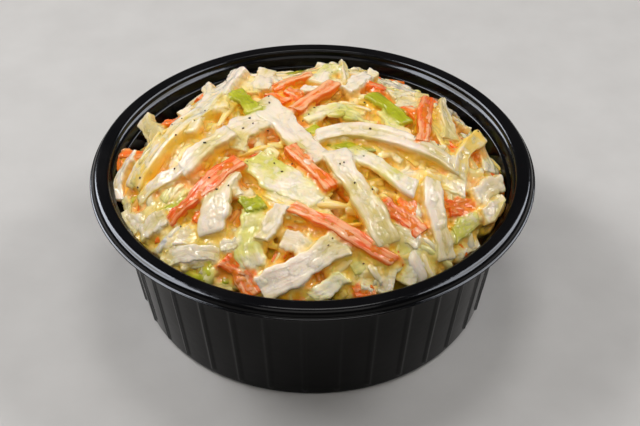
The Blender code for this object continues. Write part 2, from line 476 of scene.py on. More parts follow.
def heap_slope(x, y):
    """The direction that points straight out of the heap at each place."""
    step = 1.0 * MM
    fall_x = (heap_height(x + step, y) - heap_height(x - step, y)) / (2.0 * step)
    fall_y = (heap_height(x, y + step) - heap_height(x, y - step)) / (2.0 * step)
    out = np.stack([-fall_x, -fall_y, np.ones_like(fall_x)], axis=-1)
    return out / np.linalg.norm(out, axis=-1, keepdims=True)


def keep_inside(points):
    """Pushes points that would pass through the wall back inside it."""
    height = points[:, 2]
    room = np.where(height > ledge_height, recess_foot, inner_wall(height)) - WALL_GAP
    room = np.where((height > ledge_low) & (height <= ledge_height), ledge_radius - WALL_GAP, room)
    radius = np.hypot(points[:, 0], points[:, 1])
    share = np.minimum(1.0, room / np.maximum(radius, MM))
    points[:, :2] *= share[:, None]
    return points


print("heap at the middle", round(float(heap_height(0.0, 0.0)) / MM, 1), "mm")

# %% [markdown]
# ## One strip of each kind
#
# A knife leaves sticks of thick white rib, flat ribbons of leaf with veins along them, and
# square sticks of carrot. One strip of each is modelled with care, lying flat along X, and
# copies of it are bent into the heap afterwards. Each starts as a block. It is cut into
# rings so that it can bend, and its long edges are bevelled, because a knife cut is crisp
# but dressing rounds it off.

# %% Tools for a block that becomes a strip
def start_block(name, length, width, thickness):
    deselect_everything()
    bpy.ops.mesh.primitive_cube_add(size=1.0, location=(0.0, 0.0, 0.0))
    block = bpy.context.object
    block.name = name
    block.scale = (length, width, thickness)
    bpy.ops.object.transform_apply(location=True, rotation=True, scale=True)
    bpy.ops.object.mode_set(mode="EDIT")
    return block


def runs_along(edge, axis):
    direction = edge.verts[1].co - edge.verts[0].co
    return abs(direction[axis]) > 0.95 * direction.length


def cut_across(block, axis, cuts):
    """Cuts every edge that runs along the axis, which leaves rings across it."""
    select_where(block, "EDGE", lambda edge: runs_along(edge, axis))
    bpy.ops.mesh.subdivide(number_cuts=cuts)


def round_long_edges(block, offset, segments):
    half = max(vert.co.y for vert in bmesh.from_edit_mesh(block.data).verts)
    tall = max(vert.co.z for vert in bmesh.from_edit_mesh(block.data).verts)

    def is_corner(edge):
        middle = (edge.verts[0].co + edge.verts[1].co) / 2.0
        return runs_along(edge, 0) and abs(middle.y) > 0.99 * half and abs(middle.z) > 0.99 * tall

    select_where(block, "EDGE", is_corner)
    bpy.ops.mesh.bevel(offset=offset, segments=segments, profile=0.6)


def round_ends(block, offset):
    select_where(block, "FACE", lambda face: abs(face.normal.x) > 0.9)
    bpy.ops.mesh.inset(thickness=offset, depth=offset * 0.6)
    bpy.ops.mesh.poke()


def finish_block(block):
    bpy.ops.mesh.select_all(action="SELECT")
    bpy.ops.mesh.normals_make_consistent(inside=False)
    bpy.ops.object.mode_set(mode="OBJECT")
    bpy.ops.object.shade_smooth()
    print(block.name, "faces:", len(block.data.polygons))
    return block


# %% Model a stick of cabbage rib
def model_rib_stick():
    """Thick, rounded and a little hollow on top, like a piece cut from a cabbage's rib."""
    block = start_block("rib_stick", 20.0 * MM, 5.0 * MM, 2.4 * MM)
    cut_across(block, 1, 5)
    cut_across(block, 2, 1)
    cut_across(block, 0, 27)
    round_long_edges(block, 0.55 * MM, 3)
    round_ends(block, 0.35 * MM)
    select_where(block, "VERT", lambda vert: abs(vert.co.y) < 0.5 * MM and vert.co.z > 0.0)
    bpy.ops.transform.translate(value=(0.0, 0.0, -0.25 * MM))
    return finish_block(block)


rib_stick = model_rib_stick()

# %% Model a ribbon of leaf
VEIN_HEIGHTS = (0.0, 0.09, -0.05, 0.06, -0.08, 0.10, -0.04, 0.06, -0.06, 0.0)


def model_leaf_ribbon():
    """Thin, with raised veins that run along it."""
    width = 8.0 * MM
    block = start_block("leaf_ribbon", 24.0 * MM, width, 1.0 * MM)
    cut_across(block, 1, len(VEIN_HEIGHTS) - 2)
    cut_across(block, 0, 31)
    round_long_edges(block, 0.3 * MM, 1)
    round_ends(block, 0.15 * MM)
    lane = width / (len(VEIN_HEIGHTS) - 1)
    for number, rise in enumerate(VEIN_HEIGHTS):
        if rise:
            middle = -width / 2.0 + number * lane
            select_where(block, "VERT", lambda vert: abs(vert.co.y - middle) < 0.3 * lane)
            bpy.ops.transform.translate(value=(0.0, 0.0, rise * MM))
    return finish_block(block)


leaf_ribbon = model_leaf_ribbon()

# %% Model a stick of carrot
def model_carrot_stick():
    """Nearly square, with furrows where the grater dragged."""
    block = start_block("carrot_stick", 24.0 * MM, 3.4 * MM, 2.8 * MM)
    cut_across(block, 1, 3)
    cut_across(block, 2, 2)
    cut_across(block, 0, 31)
    round_long_edges(block, 0.6 * MM, 2)
    round_ends(block, 0.3 * MM)
    select_where(block, "VERT", lambda vert: abs(vert.co.y) < 0.2 * MM)
    bpy.ops.transform.shrink_fatten(value=-0.2 * MM)
    return finish_block(block)


carrot_stick = model_carrot_stick()

# %% Model a fine shred and a small scrap
def model_shred():
    """A fine shaving with six sides, thinner at its ends; there will be hundreds."""
    deselect_everything()
    length = 12.0 * MM
    bpy.ops.mesh.primitive_cylinder_add(
        vertices=6, radius=0.8 * MM, depth=length, end_fill_type="NGON",
        rotation=(0.0, math.pi / 2.0, 0.0))
    shred = bpy.context.object
    shred.name = "shred"
    bpy.ops.object.transform_apply(location=True, rotation=True, scale=True)
    bpy.ops.object.mode_set(mode="EDIT")
    cut_across(shred, 0, 7)
    select_where(shred, "VERT", lambda vert: abs(vert.co.x) > 0.49 * length)
    bpy.ops.transform.resize(value=(1.0, 0.55, 0.55))
    select_where(shred, "FACE", lambda face: abs(face.normal.x) > 0.9)
    bpy.ops.mesh.poke()
    return finish_block(shred)


def model_scrap():
    """A short crumb of rib or leaf, with its edges taken off."""
    scrap = start_block("scrap", 5.0 * MM, 2.6 * MM, 1.6 * MM)
    cut_across(scrap, 0, 3)
    round_long_edges(scrap, 0.45 * MM, 1)
    round_ends(scrap, 0.2 * MM)
    return finish_block(scrap)


shred = model_shred()
scrap = model_scrap()

# %% [markdown]
# ## Bending a copy into the heap
#
# Blender's Curve modifier could bend each strip along its own curve. Here that bend is
# written out, because a strip must also follow the heap's slope: its path is a smooth curve
# through two to four points, and at each ring of the strip "up" is the direction out of the
# heap. A strip gets its own width, thickness, roll, taper, twist and slanted ends, so no two
# are alike. It also keeps two records of itself: "grain", its place in the unbent strip,
# for fibres that must follow the bend, and "tone", one number for its own colour.

# %% Lay a strip
dice = random.Random(11)
strips = {"white": [], "cream": [], "pale": [], "green": [], "carrot": []}


def smooth_path(corners, shares):
    """Points, and directions of travel, on one smooth curve through the corners."""
    corners = np.array(corners, float)
    steps = np.linalg.norm(np.diff(corners, axis=0), axis=1)
    knots = np.concatenate([[0.0], np.cumsum(steps)]) / steps.sum()
    fits = [np.polyfit(knots, corners[:, axis], len(corners) - 1) for axis in range(3)]
    points = np.stack([np.polyval(fit, shares) for fit in fits], axis=-1)
    travel = np.stack([np.polyval(np.polyder(fit), shares) for fit in fits], axis=-1)
    return points, travel / np.linalg.norm(travel, axis=-1, keepdims=True), steps.sum()


def lay_strip(kind, master, corners, width, thickness, roll=0.0, taper=0.0):
    """Copies a master strip, bends the copy along its path and files it under its kind."""
    tone = dice.random()
    width *= MM
    thickness *= MM
    flat = read_points(master.data)
    flat = flat / (flat.max(axis=0) - flat.min(axis=0))
    share = flat[:, 0] + 0.5
    slant = dice.uniform(-0.35, 0.35)
    length_guess = np.linalg.norm(np.diff(np.array(corners), axis=0), axis=1).sum()
    share = share + slant * flat[:, 1] * width / length_guess
    points, travel, length = smooth_path(corners, share)
    up = heap_slope(points[:, 0], points[:, 1])
    side = np.cross(up, travel)
    side /= np.linalg.norm(side, axis=-1, keepdims=True)
    up = np.cross(travel, side)
    turn = math.radians(roll) + math.radians(dice.uniform(-14.0, 14.0)) * (share - 0.5)
    turned_side = side * np.cos(turn)[:, None] + up * np.sin(turn)[:, None]
    turned_up = up * np.cos(turn)[:, None] - side * np.sin(turn)[:, None]
    waves = dice.uniform(0.0, 6.28), dice.uniform(0.0, 6.28)
    swell = 1.0 + 0.12 * np.sin(8.0 * share + waves[0]) - taper * share
    swell += 0.07 * np.sin(21.0 * share + waves[1] + 2.0 * np.sign(flat[:, 1]))
    swell += 0.05 * np.sin(47.0 * share + waves[0] + 1.3 * np.sign(flat[:, 1]))
    sway = 0.06 * width * np.sin(7.0 * share + waves[1])
    points += turned_side * (flat[:, 1] * width * swell + sway)[:, None]
    points += turned_up * (flat[:, 2] * thickness * (0.6 + 0.4 * swell))[:, None]
    strip = bpy.data.objects.new(master.name + "_copy", master.data.copy())
    bpy.context.scene.collection.objects.link(strip)
    write_points(strip.data, keep_inside(points))
    grain = flat * (length, width, thickness) + [dice.uniform(0.0, 1.0) for _ in range(3)]
    save_attribute(strip.data, "grain", "FLOAT_VECTOR", grain)
    save_attribute(strip.data, "tone", "FLOAT", np.full(len(flat), tone))
    strips[kind].append(strip)


def save_attribute(mesh, name, kind, values):
    layer = mesh.attributes.get(name) or mesh.attributes.new(name, kind, "POINT")
    layer.data.foreach_set("vector" if kind == "FLOAT_VECTOR" else "value",
                           np.ascontiguousarray(values, np.float32).ravel())


def join_pieces(parts, name):
    make_active(parts[0])
    for part in parts:
        part.select_set(True)
    bpy.ops.object.join()
    joined = bpy.context.object
    joined.name = name
    joined.data.name = name
    return joined


# %% [markdown]
# ## The strips on top, laid one by one
#
# The cook sets the best strips on top, and so does this lesson. Each row is one strip that
# lies on top: its width and thickness in millimetres, and the places it passes, in
# millimetres from the middle of the cup's foot, with -Y at the front. Where a strip rolls
# over or narrows, two more values follow: its roll in degrees, and how much it narrows.

# %% Rows of strips
CREAM_STRIPS = (
    (4.5, 2.4, ((-18, 22, 52), (-17, 13, 52.5))),
    (5, 1.8, ((36, -17, 48), (44, -13, 44)), 20, 0),
    (3.6, 1.6, ((23, -4, 53), (26, -9, 52.5))),
    (6, 1.8, ((28, -22, 50.5), (39, -20, 46))),
    (7, 1.8, ((12, -47, 41), (20, -47, 38.5))),
    (5, 2, ((-37, -35, 38.5), (-33, -32, 44))),
    (6, 2, ((-33, -34, 43), (-21, -39, 45.5))),
    (4, 1.6, ((-30, -43, 35.5), (-19, -48, 37))),
    (5, 1.4, ((-49, -14, 37.5), (-43, -27, 37.5))),
)
CREAM_RIDGES = (
    (5.5, 3.4, ((-28, 5, 52.5), (-35, -3, 51.5), (-41, -10, 48), (-45, -15, 42))),
    (5.2, 3.4, ((-26, 14, 51.5), (-30, 2, 52.5), (-33, -5, 51.5))),
    (4.6, 3, ((-32, -17, 50.5), (-38, -19, 47), (-44, -19, 41)), 0, 0.2),
    (5, 3, ((-39, -2, 49), (-44, -8, 45), (-47, -13, 40.5))),
    (4.4, 2.4, ((-33, -20, 48), (-38, -23, 44), (-42, -25, 40))),
    (5, 3, ((-24, 17, 51.5), (-25, 4, 53))),
    (4.6, 2.4, ((37, -18, 48), (40, -8, 49), (45, 1, 47)), 10, 0.1),
    (3.4, 2, ((31, 6, 50.5), (33, -4, 51), (38, -12, 47.5))),
)
WHITE_STRIPS = (
    (5.4, 2.4, ((-46, 12, 45), (-39, -6, 48)), 20, 0),
    (5.6, 3.4, ((-21, -7, 54), (-27, -13, 53), (-33, -18, 50))),
    (4, 2.4, ((-47, -4, 44.5), (-51, -8, 39), (-51, -14, 37))),
    (5.4, 2.4, ((36, -5, 50), (35, 12, 52)), 0, 0.6),
    (3.5, 2.4, ((-35, 9, 49.5), (-32, 3, 50))),
    (3, 2.6, ((-29, 20, 50.5), (-28, 12, 50.5))),
    (6, 3.4, ((-20, 24, 52.5), (-25, 12, 52)), 10, 0),
    (5, 3, ((-13, 24, 52.5), (-14, 14, 52.5))),
    (7.6, 2.4, ((-14, 8, 53.5), (-6, -6, 54), (2, -19, 53.5))),
    (8, 2.2, ((-11, 1, 53), (-18, -5, 53.5), (-21, -12, 52.5))),
    (3, 2, ((-3, 14, 53.5), (1, 13, 53.5))),
    (3.4, 2.2, ((10, 13, 52.5), (8, 28, 53.5)), 30, 0.7),
    (4.4, 3, ((15, 20, 53.5), (9, 12, 54))),
    (3.4, 2.8, ((17, 23, 53), (14, 17, 53))),
    (2.6, 2, ((-11, 21, 52), (-8, 17, 52.5))),
    (5.4, 2.2, ((1, -9, 54), (15, -7, 54.5), (29, -13, 53), (38, -16, 48))),
    (6.4, 2.4, ((6, -15, 54), (11, -29, 53), (19, -41, 45.5))),
    (4, 2.6, ((21, 11, 53), (26, 13, 52))),
    (6, 2.4, ((24, 5, 52.5), (30, 14, 51.5)), 0, 0.5),
    (4, 2.4, ((38, 8, 47), (42, 7, 45))),
    (3, 2, ((30, -10, 52), (34, -11, 51))),
    (4.9, 2.4, ((30, -22, 50.5), (31, -32, 46), (33, -39, 38.5))),
    (5, 3.2, ((41, -22, 45), (49, -13, 42.5))),
    (4.4, 3, ((43, -27, 42.5), (50, -20, 41.5))),
    (3.6, 1.8, ((35, -35, 39.5), (42, -31, 37))),
    (6.6, 2.6, ((-12, -50, 38.5), (-2, -47, 44), (8, -42, 47))),
    (4, 2.6, ((-7, -34, 52), (-12, -42, 47.5))),
    (5, 2, ((-7, -41, 47.5), (2, -44, 45))),
    (4, 2, ((18, -38, 46.5), (26, -38, 44))),
    (6.2, 2.0, ((-20, -23, 53), (-23, -30, 51.5), (-24, -38, 46.5)), 10, -0.3),
    (4.2, 1.8, ((-21, -23, 52.5), (-19, -30, 51))),
    (5, 2.6, ((-49, -20, 37.5), (-43, -27, 38.5))),
    (4.4, 2.4, ((-45, -28, 36.5), (-36, -34, 38))),
    (4, 2.2, ((-38, -37, 36.5), (-27, -41, 38))),
    (5, 2.8, ((-43, -29, 38), (-36, -29, 44.5))),
    (4, 2, ((-36, -38, 36.5), (-30, -39, 41), (-22, -42, 42.5))),
    (3, 2, ((-22, -41, 44.5), (-18, -41, 46))),
)
CARROT_STRIPS = (
    (3, 2.4, ((-42, -7, 46.5), (-51, 0, 41.5))),
    (2.8, 2.2, ((-51, 1, 41.5), (-51, -5, 39))),
    (2.8, 2, ((-40, 6, 47.5), (-33, 4, 50.5))),
    (3, 2.4, ((0, 21, 53.5), (-6, 18, 53), (-11, 14, 53))),
    (3.4, 2.4, ((-7, 13, 53.5), (-3, 9, 53.5))),
    (2.8, 2.2, ((-12, 11, 53.5), (-7, 7, 53.5))),
    (3.6, 2.8, ((6, 15, 54.5), (-5, 2, 54.5))),
    (3, 2.2, ((15, 16, 53.5), (20, 14, 53))),
    (3.3, 2.6, ((-6, -14, 54.5), (5, -29, 53))),
    (3.8, 2.8, ((-5, -34, 51.5), (7, -40, 49), (20, -44, 42.5))),
    (4.6, 2.8, ((17, -31, 50.5), (27, -36, 44.5))),
    (5, 1.6, ((22, -27, 49.5), (26, -31, 47))),
    (3.7, 2.8, ((31, 11, 52.5), (28, -11, 53.5))),
    (3.8, 2.8, ((25, 6, 52.5), (38, -10, 48.5))),
    (2.8, 2.2, ((33, -27, 46.5), (41, -23, 43))),
    (2.5, 2.2, ((34, -29, 45.5), (40, -26, 42.5))),
    (3, 2, ((-9, -50, 38), (-2, -51, 37.5))),
    (3, 2, ((10, -50, 38), (15, -49, 38))),
    (6.4, 3.2, ((-18, -19, 53.5), (-26, -26, 51.5), (-35, -31, 44)), 0, 0.5),
    (4, 2, ((-27, -28, 48.5), (-27, -34, 46))),
    (5, 2.6, ((-21, -43, 43), (-17, -46, 40.5), (-13, -50, 37.5))),
)
GREEN_STRIPS = (
    (4.4, 1.8, ((-21, 13, 53.5), (-15, 2, 54.5))),
    (6, 1.4, ((-1, -3, 52.5), (8, -9, 52.5), (17, -10, 52.5))),
    (4.2, 1.8, ((16, 11, 54), (25, -2, 53.5))),
    (4.6, 1.8, ((-17, -33, 50.5), (-12, -32, 51.5))),
    (5, 1.4, ((-32, -40, 37), (-24, -44, 39))),
)
PALE_STRIPS = (
    (9, 1.6, ((-16, -17, 53), (-7, -25, 53), (2, -32, 51))),
    (5.4, 3.4, ((6, 26, 52.5), (1, 17, 53))),
    (5, 1.6, ((-3, 1, 53), (3, 4, 53.5), (9, 6, 53))),
    (5, 2, ((10, -13, 53.5), (17, -21, 53.5), (26, -26, 50.5))),
    (6, 2, ((44, 1, 46), (47, -8, 41.5))),
    (3.4, 1.6, ((19, 4, 53), (22, -5, 53))),
    (4.4, 2, ((35, -34, 42.5), (44, -24, 41.5))),
    (8, 1.6, ((24, -39, 44), (22, -46, 37.5))),
    (5, 1.4, ((28, -36, 43), (29, -41, 38.5))),
    (7, 1.8, ((-14, -34, 50), (-15, -41, 46.5), (-14, -46, 42.5))),
    (4.2, 2.4, ((0, -52, 38), (8, -48, 41.5))),
    (5, 1.6, ((9, -46, 43), (16, -43, 43.5))),
)

MASTERS = {"white": rib_stick, "cream": leaf_ribbon, "pale": leaf_ribbon, "green": leaf_ribbon,
           "carrot": carrot_stick}
ROWS = (("white", rib_stick, WHITE_STRIPS), ("cream", leaf_ribbon, CREAM_STRIPS),
        ("cream", rib_stick, CREAM_RIDGES), ("pale", leaf_ribbon, PALE_STRIPS),
        ("green", leaf_ribbon, GREEN_STRIPS), ("carrot", carrot_stick, CARROT_STRIPS))
for kind, master, rows in ROWS:
    for width, thickness, path, *turn_and_taper in rows:
        corners = [Vector(place) * MM for place in path]
        lay_strip(kind, master, corners, width, thickness, *turn_and_taper)
print({kind: len(laid) for kind, laid in strips.items()})

# %% [markdown]
# Under and between them lie many more, which show only in part. These are dealt out by
# seeded dice: the same heap every time, and nothing to arrange by hand.

# %% A place on a spiral, and a short path over the heap
GOLDEN_ANGLE = math.pi * (3.0 - math.sqrt(5.0))


def spiral_place(number, count, reach, turn=0.0):
    """The places of a sunflower's seeds fill a disc evenly; gives (x, y) in millimetres."""
    radius = reach * math.sqrt((number + 0.5) / count)
    angle = number * GOLDEN_ANGLE + turn
    return radius * math.cos(angle), radius * math.sin(angle)


def short_path(middle, heading, reach, sink, rise_and_fall, room, bow=0.0):
    """Three corners over the heap, kept within a radius; every size is in millimetres."""
    corners = []
    for share in (-1.0, 0.0, 1.0):
        bend = bow * (1.0 - abs(share))
        x = middle[0] + math.cos(heading) * reach * share - math.sin(heading) * bend
        y = middle[1] + math.sin(heading) * reach * share + math.cos(heading) * bend
        shrink = min(1.0, room / math.hypot(x, y))
        x, y = x * shrink, y * shrink
        height = float(heap_height(x * MM, y * MM)) / MM - sink + dice.uniform(*rise_and_fall)
        corners.append(Vector((x, y, height)) * MM)
    return corners


# %% Deal out the strips beneath
BENEATH = 150
BENEATH_REACH = 49.0
SHORTEST = 8.0 * MM
SLUMPED_FROM = 27.0
DEAL = ("cream", "white", "pale", "cream", "carrot", "white", "cream", "pale", "green", "white")
for number in range(BENEATH):
    middle = spiral_place(number, BENEATH, BENEATH_REACH)
    heading = dice.uniform(0.0, math.pi)
    reach = dice.uniform(6.0, 11.0)
    sink = dice.uniform(0.6, 2.4)
    if middle[1] > SLUMPED_FROM:
        sink -= 1.6
    kind = DEAL[number % len(DEAL)]
    corners = short_path(middle, heading, reach, sink, (-0.8, 0.8), 51.0)
    if (corners[2] - corners[0]).length < SHORTEST:
        continue
    master = MASTERS[kind]
    width = dice.uniform(3.0, 4.0) if kind == "carrot" else dice.uniform(3.4, 6.5)
    thickness = {"white": 2.4, "carrot": 2.6}.get(kind, 1.6)
    lay_strip(kind, master, corners, width, thickness, dice.uniform(-25.0, 25.0))
print({kind: len(laid) for kind, laid in strips.items()})

# %% [markdown]
# Fine shreds do two things. In bundles, where a wedge of leaf was cut thin and stayed
# together, they sweep side by side along one path. Everywhere else they and the scraps fill
# the hollows between the big strips.

# %% Lay bundles of fine shreds
BUNDLES = (
    ("cream", 5, 10, ((-22, 17, 51), (-24, 5, 52.5), (-30, -6, 51.5))),
    ("cream", 7, 13, ((-28, 3, 52), (-37, -6, 50), (-45, -19, 40))),
    ("cream", 5, 9, ((-24, -6, 52), (-32, -14, 50.5), (-42, -21, 42))),
    ("cream", 9, 8, ((-13, -26, 51), (-4, -33, 51), (8, -36, 50))),
    ("cream", 8, 7, ((9, 12, 52.5), (19, 3, 53))),
    ("pale", 10, 6, ((5, 6, 53), (15, 2, 53))),
    ("cream", 9, 6, ((2, -14, 52.5), (10, -22, 52.5), (12, -32, 50.5))),
    ("cream", 8, 6, ((26, -8, 52.5), (36, -6, 48.5))),
    ("cream", 9, 6, ((-2, 22, 51), (8, 18, 52))),
)


def lay_bundle(kind, count, spread, path):
    corners = np.array(path, float)
    shares = np.linspace(0.0, 1.0, len(corners))
    for _ in range(count):
        start = dice.uniform(-0.05, 0.5)
        end = start + dice.uniform(0.35, 0.6)
        travel = corners[-1] - corners[0]
        side = np.array([-travel[1], travel[0], 0.0]) / np.linalg.norm(travel[:2])
        offset = side * dice.uniform(-0.5, 0.5) * spread
        drift = side * dice.uniform(-0.25, 0.25) * spread
        lift = dice.uniform(-1.4, 0.6)
        spots = []
        for number, share in enumerate((start, (start + end) / 2.0, end)):
            spot = [np.interp(share, shares, corners[:, axis]) for axis in range(3)]
            spot += offset + drift * (number - 1) + [dice.uniform(-0.4, 0.4) for _ in range(3)]
            spots.append(Vector(spot + np.array([0.0, 0.0, lift])) * MM)
        lay_strip(kind, shred, spots, dice.uniform(2.0, 3.8), dice.uniform(1.3, 2.1))


for bundle in BUNDLES:
    lay_bundle(*bundle)

# %% Deal out the loose shreds and scraps
FILLERS = 520
FILL_REACH = 50.0
FILL_DEAL = ("cream", "white", "cream", "pale", "white", "cream", "carrot", "white", "cream", "pale")
for number in range(FILLERS):
    middle = spiral_place(number, FILLERS, FILL_REACH, turn=0.7)
    heading = dice.uniform(0.0, math.tau)
    master = shred if number % 5 < 3 else scrap
    reach = dice.uniform(2.6, 5.6) if master is shred else dice.uniform(1.6, 3.2)
    sink = dice.uniform(-0.9, 1.2)
    bow = dice.uniform(-1.3, 1.3) if master is shred else 0.0
    kind = FILL_DEAL[number % len(FILL_DEAL)]
    corners = short_path(middle, heading, reach, sink, (-0.5, 0.5), 51.5, bow)
    if master is shred:
        width, thickness = dice.uniform(1.8, 3.6), dice.uniform(1.3, 2.3)
    else:
        width, thickness = dice.uniform(2.2, 4.2), dice.uniform(1.4, 2.6)
    lay_strip(kind, master, corners, width, thickness, dice.uniform(-40.0, 40.0))

# %% Press a row of scraps against the wall, round the front
WALL_SCRAPS = 64
WALL_START = -195.0
WALL_SWEEP = 210.0
for number in range(WALL_SCRAPS):
    turn = math.radians(WALL_START + WALL_SWEEP * (number + 0.5) / WALL_SCRAPS)
    radius = dice.uniform(46.5, 51.0)
    heading = turn + dice.uniform(0.0, math.pi)
    reach = dice.uniform(2.0, 4.5)
    middle = (radius * math.cos(turn), radius * math.sin(turn))
    corners = short_path(middle, heading, reach, 0.0, (-1.2, 0.6), math.inf)
    kind = FILL_DEAL[number % len(FILL_DEAL)]
    lay_strip(kind, scrap, corners, dice.uniform(2.6, 4.6), dice.uniform(1.6, 2.8),
              dice.uniform(-50.0, 50.0))
print({kind: len(laid) for kind, laid in strips.items()})

# %% Join each kind into one piece and make it uneven
PIECE_NAMES = {"white": "cabbage_rib_strips", "cream": "cream_leaf_strips",
               "pale": "pale_leaf_strips", "green": "green_leaf_strips",
               "carrot": "carrot_strips"}


def clouds(name, size):
    texture = bpy.data.textures.new(name, "CLOUDS")
    texture.noise_scale = size
    return texture


wobble = clouds("wobble", 4.5 * MM)
lumps = clouds("lumps", 1.6 * MM)
CRISP = (0.9 * MM, 0.20 * MM, 2)
LIMP = (1.4 * MM, 0.45 * MM, 5)
pieces = {}
for kind, laid in strips.items():
    piece = join_pieces(laid, PIECE_NAMES[kind])
    wobble_height, lump_height, rounds = CRISP if kind in ("white", "carrot") else LIMP
    finish_modifier(piece, "DISPLACE", "wobble", texture=wobble, strength=wobble_height,
                    mid_level=0.5, texture_coords="LOCAL")
    finish_modifier(piece, "DISPLACE", "lumps", texture=lumps, strength=lump_height,
                    mid_level=0.5, texture_coords="LOCAL")
    finish_modifier(piece, "SMOOTH", "soften", factor=0.5, iterations=rounds)
    write_points(piece.data, keep_inside(read_points(piece.data)))
    pieces[kind] = piece
    print(piece.name, "faces:", len(piece.data.polygons))
for master in (rib_stick, leaf_ribbon, carrot_stick, shred, scrap):
    bpy.data.objects.remove(master, do_unlink=True)

# %% [markdown]
# ## The dressing
#
# Dressing fills the gaps: where two strips touch it draws a soft hollow between them, and
# the crisp tops stay nearly bare. To get this, all the strips and the body of the salad are
# copied, joined and remeshed into one skin, and that skin is smoothed. Smoothing pulls it
# in over the strips' tops, so they come through, and fills the corners between them.

# %% Model the body of the salad
BODY_COLUMNS = 96
BODY_SINK = 2.6 * MM


def model_body():
    """A solid that fills the cup, with its top a few millimetres under the strips."""
    bottom = floor_height + 0.3 * MM
    foot_ring = [(inner_wall(bottom) - 2.0 * MM, bottom)]
    side_rings = [(inner_wall(height * MM) - 1.5 * MM, height * MM) for height in (4.0, 14.0, 24.0)]
    cap_rings = [(share * 50.0 * MM, 30.0 * MM) for share in
                 (0.97, 0.93, 0.88, 0.8, 0.7, 0.6, 0.5, 0.4, 0.3, 0.2, 0.1)]
    body = build_rings("salad_body", BODY_COLUMNS, foot_ring + side_rings + cap_rings)
    bpy.ops.object.mode_set(mode="OBJECT")
    points = read_points(body.data)
    on_cap = points[:, 2] > 29.0 * MM
    points[on_cap, 2] = heap_height(points[on_cap, 0], points[on_cap, 1]) - BODY_SINK
    write_points(body.data, points)
    return body


# %% Remesh everything into one creamy skin
SKIN_CELL = 0.65 * MM
HIDDEN_BELOW = 26.0 * MM


def copy_of(piece):
    twin = piece.copy()
    twin.data = piece.data.copy()
    bpy.context.scene.collection.objects.link(twin)
    return twin


dressing = join_pieces([model_body()] + [copy_of(piece) for piece in pieces.values()], "dressing")
finish_modifier(dressing, "REMESH", "one_skin", mode="VOXEL", voxel_size=SKIN_CELL)
finish_modifier(dressing, "SMOOTH", "settle", factor=0.5, iterations=8)
thickness = clouds("dressing_thickness", 2.2 * MM)
finish_modifier(dressing, "DISPLACE", "dabs", texture=thickness, strength=1.0 * MM,
                mid_level=0.55, texture_coords="LOCAL")
write_points(dressing.data, keep_inside(read_points(dressing.data)))
bpy.ops.object.mode_set(mode="EDIT")
select_where(dressing, "VERT", lambda vert: vert.co.z < HIDDEN_BELOW)
bpy.ops.mesh.decimate(ratio=0.08)
bpy.ops.object.mode_set(mode="OBJECT")
make_active(dressing)
bpy.ops.object.shade_smooth()
print("dressing faces:", len(dressing.data.polygons))

# %% [markdown]
# The skin is thin, so what lies under it shows through: it is orange over carrot and green
# over leaf. Each of its points therefore borrows a tint from the nearest strips. Away from
# any strip it keeps its own creamy yellow. A second record, "bare", says where it lies over
# carrot or green leaf, so that its white film can stay off them.

# %% Let the skin borrow the strips' tints
TINTS = {"white": (0.90, 0.72, 0.45), "cream": (0.95, 0.70, 0.28), "pale": (0.84, 0.74, 0.30),
         "green": (0.50, 0.50, 0.03), "carrot": (0.97, 0.22, 0.01)}
OWN_TINT = (0.95, 0.72, 0.30)
BORROW_NEAREST = 5
BORROW_NEAR = 1.0 * MM
BORROW_FAR = 2.0 * MM
LITTLE_FILM = ("carrot", "green")


def borrow_tints(skin):
    """One colour for each point of the skin, mixed from the nearest points of the strips."""
    tops = []
    for kind, piece in pieces.items():
        points = read_points(piece.data)
        tops += [(point, kind) for point in points[points[:, 2] > HIDDEN_BELOW]]
    finder = KDTree(len(tops))
    for number, (point, kind) in enumerate(tops):
        finder.insert(point, number)
    finder.balance()
    tints = np.ones((len(skin.data.vertices), 4))
    bare = np.zeros(len(tints))
    for index, (row, point) in enumerate(zip(tints, read_points(skin.data))):
        row[:3] = OWN_TINT
        if point[2] < HIDDEN_BELOW:
            continue
        found = finder.find_n(point, BORROW_NEAREST)
        weights = np.array([1.0 / (distance + 0.2 * MM) ** 2 for _, _, distance in found])
        mixed = weights @ np.array([TINTS[tops[number][1]] for _, number, _ in found]) / weights.sum()
        share = np.clip((BORROW_FAR - found[0][2]) / (BORROW_FAR - BORROW_NEAR), 0.0, 1.0)
        row[:3] += (mixed - row[:3]) * share
        little = np.array([tops[number][1] in LITTLE_FILM for _, number, _ in found])
        bare[index] = weights @ little / weights.sum() * share
    layer = skin.data.color_attributes.new("tint", "FLOAT_COLOR", "POINT")
    layer.data.foreach_set("color", tints.astype(np.float32).ravel())
    save_attribute(skin.data, "bare", "FLOAT", bare)


borrow_tints(dressing)

# %% [markdown]
# ## Ground pepper
#
# Flecks of black pepper, finer than a millimetre, stick to the wet tops. One fleck is an
# icosphere pressed flat; each copy gets its own corners moved a little. A ray straight down
# finds the surface under each spot.

# %% Sprinkle the pepper
PEPPER_SPOTS = (
    (-11.5, 5.5), (0.5, 4.5), (13.5, -3.5), (-0.5, -5.5), (-15.5, -3.5), (-16.5, -1), (-18, -5.5),
    (-31, -1.5), (10.5, -28), (5, -42.5), (4, -44), (-27.5, -12), (-20.5, -28.5), (32.5, -10),
    (-5, -20), (13, -18), (-32.5, -33), (-1, 1.5), (-2.5, -1), (7, -21.5), (8, -21), (-7.5, -23),
    (-9.5, -20), (15, -7), (15, -27), (14, 9), (-11.5, -6.5), (-34.5, 0.5), (-35.5, -6.5),
    (-44.5, -15), (-25.5, -25), (-23.5, -28.5), (-28.5, 3), (-35, -17.5), (-45, -17),
)
LOOSE_FLECKS = 16
PEPPER_REACH = 48.0
FLECK_RADIUS = 0.30 * MM
RAY_START = 0.2


